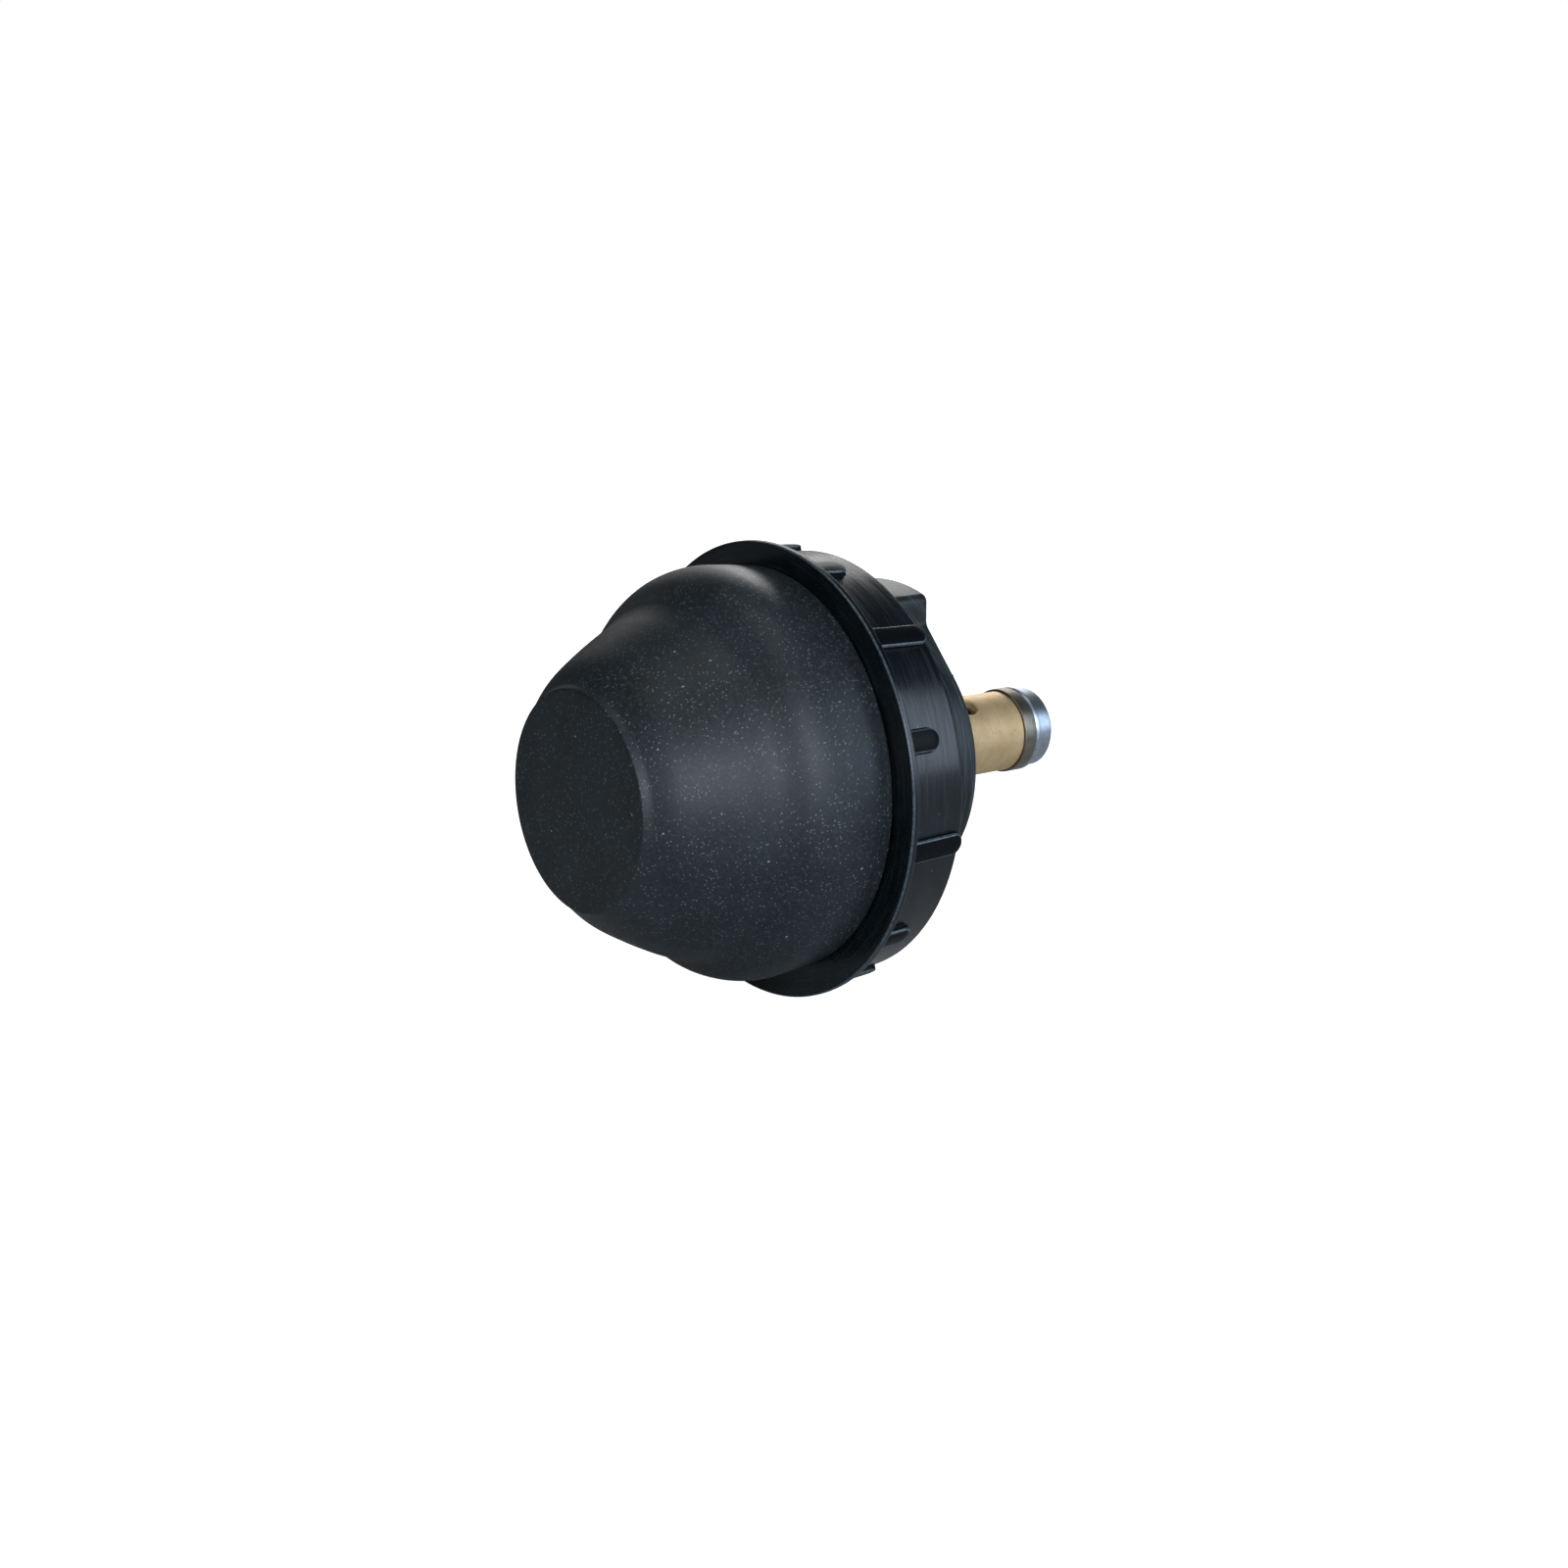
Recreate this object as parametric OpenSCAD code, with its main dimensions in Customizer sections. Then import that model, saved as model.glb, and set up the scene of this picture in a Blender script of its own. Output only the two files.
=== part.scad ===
// Booted push button head for a control station: a rubber boot and a ribbed ring nut in front,
// a keyed body behind, and a sprung plunger that comes out of the back of the body.
// The origin is the centre of the face that seats on the station's collar.
// +Y is the push direction, from the boot to the plunger's tip, and +Z is up, towards the key.

/* [Ring nut] */
// Diameter of the bore whose thread takes the station's collar
thread_d = 32.8; // [30:0.2:36]
// Wall between the threaded bore and the ribbed band, at the band's rear edge
band_wall = 2.2; // [1.6:0.1:3]
// How far the ribbed band widens from its rear edge to its front
band_draft = 0.3; // [0:0.05:0.6]
// How far the front rim stands out past the band's rear edge
rim_proud = 1.4; // [0.8:0.1:2]
// Axial thickness of the front rim
rim_t = 0.65; // [0.4:0.05:1.2]
// Axial width of the plain step behind the rim
step_t = 0.55; // [0.3:0.05:1]
// Thickness of the inward lip that holds the boot's foot
lip_t = 1.25; // [0.8:0.05:2]
// How far the lip reaches in past the threaded bore
lip_w = 1.8; // [1.2:0.1:3]
// How far the ring nut reaches behind the seat
ring_back = 2; // [1:0.1:5]
// Number of grip ribs, long and short in turn
rib_count = 13; // [7:1:20]
// Angle of the first rib, from +X towards +Z
rib_phase = 44; // [0:1:90]
// Width of a grip rib
rib_w = 1.9; // [1:0.1:3]
// How far a grip rib stands out of the band
rib_h = 0.55; // [0.3:0.05:1]
// Length of a short grip rib
rib_short = 2.9; // [1.5:0.1:4]

/* [Boot] */
// Diameter of the boot's flat front face
boot_face_d = 18.8; // [14:0.2:24]
// Length of the boot in front of the ring nut
boot_len = 19.4; // [15:0.2:24]
// Width of the ring nut's front face that the boot leaves showing
rim_show = 2.1; // [1.5:0.1:5]
// Thickness of the boot's side wall
boot_wall = 2; // [1.2:0.1:2.6]
// Thickness of the boot's front wall, which the finger meets
boot_front_t = 2.4; // [1.6:0.1:3.2]
// Thickness of the boot's neck, inside the ring nut's lip
neck_wall = 1.6; // [1:0.1:2]
// Thickness of the boot's foot, which is clamped
foot_t = 1; // [0.8:0.1:2]

/* [Body] */
// Diameter of the spigot that enters the station's collar
spigot_d = 24; // [20:0.5:27]
// How far the spigot reaches behind the seat
spigot_len = 9.75; // [8:0.25:14]
// Wall of the spigot
spigot_wall = 1.8; // [1.2:0.1:2.2]
// Thickness of the body's flange
flange_t = 1.2; // [0.8:0.1:2]
// Width of the key
key_w = 10.6; // [6:0.2:12]
// How far the key stands out of the spigot
key_h = 3.55; // [2:0.05:4]
// Height of the key's straight sides
key_side = 2.5; // [1:0.1:3]
// Thickness of the web between the spigot and the hub
web_t = 2.2; // [1.5:0.1:3]
// Wall of the hub around the guide bush
hub_wall = 1.4; // [1:0.1:2.5]
// How far the hub reaches in front of the seat
hub_front = 8; // [6:0.25:9]
// Number of gussets between the rear boss and the spigot
gusset_count = 6; // [3:1:8]
// Thickness of a gusset
gusset_t = 1.2; // [0.8:0.1:2]

/* [Plunger] */
// Distance that the button travels
travel = 4.5; // [3:0.25:6]
// Diameter of the stem
stem_d = 5; // [4:0.1:6]
// Diameter of the brass sleeve
sleeve_d = 7.4; // [7:0.1:9]
// Length of the sleeve behind the spigot's end, at rest
sleeve_out = 13.5; // [10:0.5:18]
// Diameter of the lock collar
collar_d = 7.8; // [7.6:0.1:10]
// Thickness of the lock collar
collar_t = 1.4; // [0.8:0.1:2.5]
// Diameter of the tip
tip_d = 7.26; // [7:0.02:8.6]
// Diameter of the tip's flange
tip_flange_d = 7.8; // [7.6:0.1:10]
// Thickness of the tip's flange
tip_flange_t = 0.5; // [0.4:0.1:1]
// Length of the tip behind the collar
tip_len = 2.4; // [2:0.1:4]
// Diameter of the tip's threaded shank
shank_d = 4; // [3:0.1:4.6]
// Diameter of the cross hole for the pin
pin_hole_d = 2.2; // [1.2:0.1:2.4]
// Distance from the spigot's end to the cross hole, at rest
pin_back = 8; // [2:0.25:10]
// Angle of the cross hole, from +X towards +Z
pin_angle = 64; // [0:1:180]
// Diameter of the cap under the boot
cap_d = 16.4; // [14:0.2:18]
// Thickness of the cap's disc
cap_t = 2.6; // [2:0.1:4]
// Diameter of the cap screw's thread
screw_d = 3; // [2.5:0.5:3]

/* [Return spring and small parts] */
// Diameter of the spring's wire
wire_d = 1; // [0.8:0.05:1.2]
// Number of turns in the spring, closed ends included
spring_turns = 8; // [6:1:10]
// Gap between the hub and the spring
spring_gap = 1.2; // [0.6:0.1:1.4]
// Thickness of the spring's seat washer
seat_t = 0.6; // [0.4:0.1:1]
// Wall of the guide bush
bush_wall = 1.45; // [1:0.05:1.8]
// Thickness of the guide bush's flange
bush_flange_t = 0.9; // [0.6:0.1:1.5]
// Thickness of the clip behind the guide bush
clip_t = 0.5; // [0.4:0.1:0.8]
// Thickness of the stop washer that the sleeve rests on
stop_t = 1.1; // [0.8:0.1:1.5]
// Thickness of the slip washer under the ring nut's lip
slip_t = 0.3; // [0.2:0.1:0.6]
// Thickness of the flange gasket
gasket_t = 0.8; // [0.5:0.1:1.5]
// Thickness of the retainer's sheet metal
sheet_t = 0.55; // [0.4:0.05:0.8]

/* [Clearances] */
// Radial clearance of the stem in its guide bush
run_gap = 0.05; // [0.02:0.01:0.1]
// Gap between pieces that are fixed together
fixed_gap = 0.02; // [0.01:0.01:0.05]
// Gap between a moving piece and the stop that it rests on
stop_gap = 0.05; // [0.02:0.01:0.1]
// Gap between the ring nut and what turns inside it
turn_gap = 0.1; // [0.05:0.05:0.3]
// Gap around rubber that has to move
rubber_gap = 0.3; // [0.2:0.05:0.5]

/* [Hidden] */
round_fn = 96;

// Stations along the axis, from the seat forwards
flange_y = -gasket_t - flange_t;
foot_y = flange_y - foot_t;
slip_y = foot_y - slip_t;
lip_y = slip_y - turn_gap;
ring_y = lip_y - lip_t;
boot_y = ring_y - boot_len;
cap_y = boot_y + boot_front_t + stop_gap * 4;
cap_rear_y = cap_y + cap_t;
bush_y = -hub_front - bush_flange_t;
cap_hub_y = bush_y - travel - stop_gap * 2;

// Stations along the axis, from the seat backwards
web_y = 3;
web_rear_y = web_y + web_t;
seat_y = web_y - seat_t;
counterbore_y = web_rear_y + 0.4;
clip_rear_y = counterbore_y + clip_t + stop_gap * 2;
bush_end_y = clip_rear_y + 0.5;
stop_y = bush_end_y;
sleeve_y = stop_y + stop_t + stop_gap;
boss_y = sleeve_y + 0.65;
sleeve_end_y = spigot_len + sleeve_out;
collar_end_y = sleeve_end_y + collar_t;
tip_end_y = collar_end_y + tip_len;
pin_y = spigot_len + pin_back;

// Radii of the ring nut, the boot and what they clamp
thread_r = thread_d / 2;
band_r = thread_r + band_wall;
rim_r = band_r + rim_proud;
lip_r = thread_r - lip_w;
step_r = band_r + band_draft + 0.4;
foot_r = thread_r - turn_gap * 4;
flange_r = foot_r - turn_gap;
neck_r = lip_r - rubber_gap - turn_gap;
neck_in_r = neck_r - neck_wall;
bulge_r = rim_r - rim_show;
face_r = boot_face_d / 2;

// Radii of the body and the plunger
key_y = ring_back + rubber_gap;
spigot_r = spigot_d / 2;
cavity_r = spigot_r - spigot_wall;
key_r = spigot_r + key_h;
key_root_z = sqrt(key_r * key_r - key_w * key_w / 4) - key_side;
stem_r = stem_d / 2;
bush_bore_r = stem_r + run_gap;
bush_r = bush_bore_r + bush_wall;
hub_r = bush_r + hub_wall;
bush_flange_r = hub_r + 0.4;
counterbore_r = bush_r + 1;
boss_r = counterbore_r + 1.6;
groove_r = bush_r - 0.4;
spring_r = hub_r + spring_gap + wire_d / 2;
sleeve_r = sleeve_d / 2;
shank_r = shank_d / 2;
tip_r = tip_d / 2;
cap_r = cap_d / 2;
cap_hub_r = stem_r + 1.8;
screw_r = screw_d / 2;
head_r = screw_r + 1.25;
head_t = 1.8;
lock_t = 0.5;
screw_floor_y = cap_y + head_t + lock_t + 0.1;
stem_y = screw_floor_y + 3;
stem_end_y = pin_y + 2.25;
pin_r = pin_hole_d / 2;

// Outline of the boot's side: [share of its length, share of the way from face to bulge]
boot_shape = [[0.12, 0.23], [0.25, 0.41], [0.37, 0.55], [0.5, 0.69],
              [0.62, 0.91], [0.74, 1], [0.87, 0.99], [0.97, 0.97]];

// Points of an arc about c, from angle a to angle b
function arc(c, r, a, b, n = 6) =
    [for (i = [0:n]) let (t = a + (b - a) * i / n) c + r * [cos(t), sin(t)]];

// One point of the smooth curve that passes through p1 and p2, with p0 and p3 beyond them
function curve_point(p0, p1, p2, p3, t) =
    0.5 * (2 * p1 + (p2 - p0) * t + (2 * p0 - 5 * p1 + 4 * p2 - p3) * t * t
           + (3 * p1 - p0 - 3 * p2 + p3) * t * t * t);

// Smooth curve through the points p, in n steps between neighbours
function curve(p, n) =
    [for (i = [0:len(p) - 2]) for (k = [0:n - 1])
        curve_point(p[max(i - 1, 0)], p[i], p[i + 1], p[min(i + 2, len(p) - 1)], k / n),
     p[len(p) - 1]];

// The points p moved sideways by w, to the left of their own direction
function beside(p, w) =
    [for (i = [0:len(p) - 1])
        let (d = p[min(i + 1, len(p) - 1)] - p[max(i - 1, 0)])
        p[i] + w * [-d[1], d[0]] / norm(d)];

function reversed(p) = [for (i = [len(p) - 1:-1:0]) p[i]];

// Solid of revolution about the Y axis; profile holds [radius, y] points
module revolve(profile) rotate([-90, 0, 0]) rotate_extrude($fn = round_fn) polygon(profile);

// Plain ring about the Y axis, between two radii and two stations
module collar(r_in, r_out, y0, y1)
    revolve([[r_in, y0], [r_out, y0], [r_out, y1], [r_in, y1]]);

// Children turned about the Y axis, from +X towards +Z
module turned(angle) rotate([0, -angle, 0]) children();

// Rod through the plunger at the cross hole
module cross_rod(r, half) turned(pin_angle) translate([0, pin_y, 0]) rotate([0, 90, 0])
    cylinder(r = r, h = 2 * half, center = true, $fn = 48);

// One grip rib, standing out along +X, with a round rear end
module rib(len) {
    front = ring_y + rim_t + step_t;
    root = band_r - 0.5;
    translate([root, 0, 0]) rotate([0, 90, 0]) linear_extrude(band_r + band_draft + rib_h - root) {
        translate([-rib_w / 2, front - 0.2]) square([rib_w, len - rib_w / 2 + 0.2]);
        translate([0, front + len - rib_w / 2]) circle(d = rib_w, $fn = 32);
    }
}

module ring_nut() color([0.07, 0.09, 0.1]) {
    step_y = ring_y + rim_t;
    band_y = step_y + step_t;
    edge = 0.15;
    revolve([[lip_r, ring_y + edge], [lip_r + edge, ring_y], [rim_r - edge, ring_y],
             [rim_r, ring_y + edge], [rim_r, step_y - edge], [rim_r - edge, step_y],
             [step_r, step_y], [step_r, band_y], [band_r + band_draft, band_y],
             [band_r, ring_back - edge], [band_r - edge, ring_back],
             [thread_r + 0.3, ring_back], [thread_r, ring_back - 0.3],
             [thread_r, lip_y], [lip_r, lip_y]]);
    for (i = [0:rib_count - 1])
        turned(rib_phase + i * 360 / rib_count)
            rib(min(i, rib_count - i) % 2 == 0 ? ring_back - band_y - edge : rib_short);
}

module boot() color([0.18, 0.22, 0.24]) {
    skirt_y = ring_y - rubber_gap;
    side = [for (s = boot_shape)
        [face_r + s[1] * (bulge_r - face_r), boot_y + s[0] * (skirt_y - boot_y)]];
    outer = curve(concat([[face_r, boot_y + 0.35]], side), 4);
    front_in_y = boot_y + boot_front_t;
    inner_all = beside(outer, boot_wall);
    inner = [for (q = inner_all) if (q[1] > front_in_y + 0.4 && q[1] < skirt_y - boot_wall - 0.8) q];
    skirt_r = side[len(side) - 1][0];
    revolve(concat(
        [[0, boot_y]], arc([face_r - 0.35, boot_y + 0.35], 0.35, -90, 0, 4), outer,
        arc([skirt_r - 0.5, skirt_y - 0.4], 0.4, 20, 90, 4),
        arc([neck_r + 0.5, skirt_y + 0.5], 0.5, -90, -180, 4),
        [[neck_r, foot_y], [foot_r, foot_y], [foot_r, flange_y],
         [cavity_r + 0.4, flange_y], [cavity_r + 0.4, foot_y], [neck_in_r, foot_y],
         [neck_in_r, skirt_y - 0.2], [neck_in_r + 0.8, skirt_y - boot_wall + 0.4]],
        reversed(inner),
        [[inner[0][0] - 0.5, front_in_y], [0, front_in_y]]));
}

module slip_washer() color([0.62, 0.63, 0.64]) collar(lip_r - 0.2, foot_r, slip_y, foot_y);

module boot_retainer() color([0.68, 0.69, 0.7]) {
    tube_r = cavity_r - fixed_gap;
    revolve([[tube_r - sheet_t, foot_y - sheet_t], [neck_in_r - rubber_gap, foot_y - sheet_t],
             [neck_in_r - rubber_gap, foot_y], [tube_r, foot_y],
             [tube_r, seat_y - seat_t], [tube_r - sheet_t, seat_y - seat_t]]);
}

// The key's top is round about the axis, and its flanks run down to touch the spigot
module key() {
    root = atan2(key_root_z, key_w / 2);
    touch = root - acos(spigot_r / norm([key_w / 2, key_root_z]));
    intersection() {
        collar(spigot_r - spigot_wall / 2, key_r, key_y, spigot_len);
        translate([0, spigot_len + 1, 0]) rotate([90, 0, 0]) linear_extrude(spigot_len)
            polygon([[0, 0], [spigot_r * cos(touch), spigot_r * sin(touch)],
                     [key_w / 2, key_root_z], [key_w / 2, key_r + 1],
                     [-key_w / 2, key_r + 1], [-key_w / 2, key_root_z],
                     [-spigot_r * cos(touch), spigot_r * sin(touch)]]);
    }
}

module body() color([0.2, 0.22, 0.22]) {
    chamfer = 0.4;
    revolve([[bush_r + fixed_gap, -hub_front], [hub_r, -hub_front], [hub_r, web_y],
             [cavity_r, web_y], [cavity_r, flange_y], [flange_r, flange_y],
             [flange_r, -gasket_t], [spigot_r, -gasket_t],
             [spigot_r, spigot_len - chamfer], [spigot_r - chamfer, spigot_len],
             [cavity_r, spigot_len], [cavity_r, web_rear_y], [boss_r, web_rear_y],
             [boss_r, boss_y], [counterbore_r, boss_y],
             [counterbore_r, counterbore_y], [bush_r + fixed_gap, counterbore_y]]);
    key();
    for (i = [0:gusset_count - 1])
        turned((i + 0.5) * 360 / gusset_count)
            translate([boss_r - 0.3, web_rear_y - 0.3, -gusset_t / 2])
                cube([cavity_r - boss_r + 0.6, boss_y - web_rear_y - 0.5, gusset_t]);
}

module flange_gasket() color([0.1, 0.1, 0.1])
    collar(spigot_r + turn_gap, flange_r, -gasket_t, 0);

module guide_bush() color([0.72, 0.58, 0.34])
    revolve([[bush_bore_r, bush_y], [bush_flange_r, bush_y], [bush_flange_r, -hub_front],
             [bush_r, -hub_front], [bush_r, counterbore_y], [groove_r, counterbore_y],
             [groove_r, clip_rear_y], [bush_r, clip_rear_y], [bush_r, bush_end_y - 0.2],
             [bush_r - 0.2, bush_end_y], [bush_bore_r, bush_end_y]]);

module bush_clip() color([0.5, 0.5, 0.5]) difference() {
    collar(groove_r + fixed_gap, counterbore_r - 0.15, counterbore_y, counterbore_y + clip_t);
    translate([0, counterbore_y - 1, -groove_r * 0.8])
        cube([counterbore_r + 1, clip_t + 2, groove_r * 1.6]);
}

module stop_washer() color([0.85, 0.84, 0.78])
    collar(stem_r + 0.2, counterbore_r - 0.1, stop_y, stop_y + stop_t);

module spring_seat() color([0.66, 0.67, 0.68])
    collar(hub_r + 0.1, spring_r + wire_d / 2 + 0.5, seat_y, web_y);

// How far the spring's wire has climbed after u turns, over a span, with its end turns closed
function climb(u, span, closed) = u < 1 ? closed * u
    : u > spring_turns - 1 ? span - closed * (spring_turns - u)
    : closed + (span - 2 * closed) * (u - 1) / (spring_turns - 2);

module return_spring() color([0.6, 0.62, 0.64]) {
    sides = 8;
    steps = 20;
    span = seat_y - cap_rear_y - wire_d;
    rings = spring_turns * steps;
    wire_r = wire_d / 2 * 0.98;
    points = [for (i = [0:rings]) let (u = i / steps, a = 360 * u,
                                       y = cap_rear_y + wire_d / 2 + climb(u, span, 1.06 * wire_d))
        for (k = [0:sides - 1]) let (b = 360 * k / sides, r = spring_r + wire_r * cos(b))
            [r * cos(a), y + wire_r * sin(b), r * sin(a)]];
    walls = [for (i = [0:rings - 1]) for (k = [0:sides - 1]) let (n = (k + 1) % sides)
        [i * sides + k, (i + 1) * sides + k, (i + 1) * sides + n, i * sides + n]];
    ends = [[for (k = [0:sides - 1]) k], [for (k = [sides - 1:-1:0]) rings * sides + k]];
    polyhedron(points, concat(walls, ends));
}

module button_cap() color([0.75, 0.74, 0.7]) {
    edge = 0.6;
    revolve(concat(
        [[head_r + 0.3, cap_y]], arc([cap_r - edge, cap_y + edge], edge, -90, 0, 4),
        [[cap_r, cap_rear_y], [cap_hub_r, cap_rear_y], [cap_hub_r, cap_hub_y],
         [stem_r + fixed_gap, cap_hub_y], [stem_r + fixed_gap, stem_y],
         [screw_r + 0.1, stem_y], [screw_r + 0.1, screw_floor_y], [head_r + 0.3, screw_floor_y]]));
}

module cap_washer() color([0.6, 0.6, 0.62]) difference() {
    collar(screw_r + 0.1, head_r - 0.1, screw_floor_y - lock_t, screw_floor_y);
    translate([0, screw_floor_y - 1, -0.3]) cube([head_r + 1, 2, 0.6]);
}

module cap_screw() color([0.7, 0.71, 0.73]) difference() {
    head_y = screw_floor_y - lock_t - head_t;
    shank_y = stem_y + 4.5;
    union() {
        revolve(concat([[0, head_y]], arc([head_r - 0.5, head_y + 0.5], 0.5, -90, 0, 4),
            [[head_r, head_y + head_t], [screw_r, head_y + head_t],
             [screw_r, shank_y - 0.3], [screw_r - 0.3, shank_y], [0, shank_y]]));
    }
    translate([-head_r - 1, head_y - 1, -0.4]) cube([2 * head_r + 2, 1.9, 0.8]);
}

module stem() color([0.74, 0.75, 0.77]) difference() {
    tapped_y = stem_y + 5.5;
    revolve([[screw_r + fixed_gap, stem_y], [stem_r - 0.3, stem_y], [stem_r, stem_y + 0.3],
             [stem_r, stem_end_y - 0.3], [stem_r - 0.3, stem_end_y], [0, stem_end_y],
             [0, tapped_y + 0.8], [screw_r + fixed_gap, tapped_y]]);
    cross_rod(pin_r, stem_r + 1);
}

module cross_pin() color([0.45, 0.4, 0.34]) difference() {
    pin_half = sleeve_r - 0.7;
    cross_rod(pin_r - fixed_gap, pin_half);
    cross_rod(pin_r - 0.4, pin_half + 1);
    turned(pin_angle) translate([-pin_half - 1, pin_y - 0.2, 0])
        cube([2 * pin_half + 2, 0.4, pin_r + 1]);
}

module plunger_sleeve() color([0.78, 0.66, 0.44]) difference() {
    chamfer = 0.25;
    revolve([[stem_r + fixed_gap, sleeve_y], [sleeve_r - chamfer, sleeve_y],
             [sleeve_r, sleeve_y + chamfer], [sleeve_r, sleeve_end_y],
             [shank_r + fixed_gap, sleeve_end_y], [shank_r + fixed_gap, stem_end_y + 0.4],
             [stem_r + fixed_gap, stem_end_y + 0.4]]);
    cross_rod(pin_r, sleeve_r + 1);
}

module lock_collar() color([0.38, 0.35, 0.31]) {
    edge = 0.12;
    revolve([[shank_r + fixed_gap, sleeve_end_y], [collar_d / 2 - edge, sleeve_end_y],
             [collar_d / 2, sleeve_end_y + edge], [collar_d / 2, collar_end_y - edge],
             [collar_d / 2 - edge, collar_end_y], [shank_r + fixed_gap, collar_end_y]]);
}

module plunger_tip() color([0.7, 0.74, 0.78]) {
    chamfer = 0.35;
    front_chamfer = 0.2;
    flange_rear_y = collar_end_y + tip_flange_t;
    shank_y = stem_end_y + 0.8;
    revolve([[0, shank_y], [shank_r - 0.3, shank_y], [shank_r, shank_y + 0.3],
             [shank_r, collar_end_y], [tip_flange_d / 2 - front_chamfer, collar_end_y],
             [tip_flange_d / 2, collar_end_y + front_chamfer], [tip_flange_d / 2, flange_rear_y],
             [tip_r, flange_rear_y], [tip_r, tip_end_y - chamfer],
             [tip_r - chamfer, tip_end_y], [0, tip_end_y]]);
}

ring_nut();
boot();
slip_washer();
boot_retainer();
body();
flange_gasket();
guide_bush();
bush_clip();
stop_washer();
spring_seat();
return_spring();
button_cap();
cap_washer();
cap_screw();
stem();
cross_pin();
plunger_sleeve();
lock_collar();
plunger_tip();
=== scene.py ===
"""A booted push button head: a rubber boot and a ribbed ring nut in front, a keyed body behind,
and a sprung brass plunger that comes out of the back.

Lengths are in millimetres until a mesh is made. The row's +Y is the push direction and +Z is up.
A profile is a line of [radius, station] points, and a station is a place along the Y axis.
"""

import bmesh
import bpy
import numpy as np
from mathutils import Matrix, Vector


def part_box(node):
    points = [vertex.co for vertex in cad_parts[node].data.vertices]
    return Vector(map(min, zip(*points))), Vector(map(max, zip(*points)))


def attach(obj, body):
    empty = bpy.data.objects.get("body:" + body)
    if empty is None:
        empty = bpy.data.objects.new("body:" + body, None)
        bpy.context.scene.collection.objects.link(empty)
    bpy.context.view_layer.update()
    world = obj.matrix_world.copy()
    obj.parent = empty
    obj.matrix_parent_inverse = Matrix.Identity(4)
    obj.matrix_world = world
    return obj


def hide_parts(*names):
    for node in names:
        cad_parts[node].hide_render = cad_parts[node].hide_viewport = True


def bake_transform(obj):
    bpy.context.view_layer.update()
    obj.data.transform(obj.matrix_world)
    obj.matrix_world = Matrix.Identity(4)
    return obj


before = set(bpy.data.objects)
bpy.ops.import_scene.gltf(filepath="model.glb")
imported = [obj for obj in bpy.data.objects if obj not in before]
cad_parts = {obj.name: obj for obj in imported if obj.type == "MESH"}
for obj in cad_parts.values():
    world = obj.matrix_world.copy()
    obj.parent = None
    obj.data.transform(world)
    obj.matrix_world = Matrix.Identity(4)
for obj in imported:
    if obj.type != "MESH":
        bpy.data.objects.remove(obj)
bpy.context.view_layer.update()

MM = 0.001
FULL_TURN = 2 * np.pi


def node_box(node):
    """Lowest and highest corner of a CAD node, in millimetres."""
    low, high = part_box(node)
    return np.array(low) / MM, np.array(high) / MM


# ---------------------------------------------------------------- stations and radii from the frame

ring_low, ring_high = node_box("ring_nut")
boot_low, boot_high = node_box("boot")
body_high = node_box("body")[1]
sleeve_low, sleeve_high = node_box("plunger_sleeve")
collar_low, collar_high = node_box("lock_collar")
tip_low, tip_high = node_box("plunger_tip")
gasket_low = node_box("flange_gasket")[0]
slip_high = node_box("slip_washer")[1]
stop_high = node_box("stop_washer")[1]
spring_low, spring_high = node_box("return_spring")
stem_high = node_box("stem")[1]

rim_r = ring_high[0]
ring_front = ring_low[1]
ring_back = ring_high[1]
boot_front = boot_low[1]
boot_back = boot_high[1]
spigot_end = body_high[1]
sleeve_r = sleeve_high[0]
stem_r = stem_high[0]

# Sizes that the frame's boxes don't show
band_r, band_draft = 18.6, 0.3
rim_t, step_t = 0.65, 0.55
lip_t, lip_r, thread_r, thread_pitch = 1.25, 14.6, 16.4, 1.5
rib_count, rib_phase, rib_w, rib_h, rib_short = 13, 44, 1.9, 0.55, 2.9
boot_face_r, boot_wall, boot_front_t = 9.4, 2.0, 2.4
boot_bulge_r, boot_neck_r, boot_neck_in_r, boot_foot_in_r = 17.9, 14.2, 12.6, 10.6
skirt_gap, slump = 0.08, 0.35
spigot_r, cavity_r, flange_r = 12.0, 10.2, 15.9
key_w, key_h, key_side, key_corner, key_root = 10.6, 3.55, 2.5, 0.8, 0.9
hub_r, hub_front, bush_r, boss_r, counterbore_r = 5.4, 8.0, 4.02, 6.6, 5.0
web_front, web_back, counterbore_floor = 3.0, 5.2, 5.6
gusset_count, gusset_t = 6, 1.2
wire_r, spring_turns, closed_turns = 0.5, 8, 0.9
pin_y, pin_r, pin_angle = 17.75, 1.1, 64
shank_r, tip_r, tip_flange_t, tip_chamfer = 2.0, 3.63, 0.5, 0.35


# ---------------------------------------------------------------- camera

def axes_of_view(azimuth, elevation):
    """Right, up and back vectors of a view: azimuth 0 looks along +Y and 90 along -X."""
    a, e = np.radians((azimuth, elevation))
    right = np.array([np.cos(a), np.sin(a), 0])
    back = np.array([np.sin(a) * np.cos(e), -np.cos(a) * np.cos(e), np.sin(e)])
    return right, np.cross(back, right), back


right, up, back = axes_of_view(51.64, 12.84)
camera_data = bpy.data.cameras.new("camera")
camera_data.lens = 58.5
camera_data.sensor_width = 36
camera_data.clip_start = 0.005
camera = bpy.data.objects.new("camera", camera_data)
bpy.context.scene.collection.objects.link(camera)
eye = np.array([0, ring_front, 0]) + 221.55 * back + 1.91 * right - 1.15 * up
matrix = np.eye(4)
matrix[:3, 0], matrix[:3, 1], matrix[:3, 2], matrix[:3, 3] = right, up, back, eye * MM
camera.matrix_world = matrix.T.tolist()
bpy.context.scene.camera = camera


# ---------------------------------------------------------------- surfaces

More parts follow.
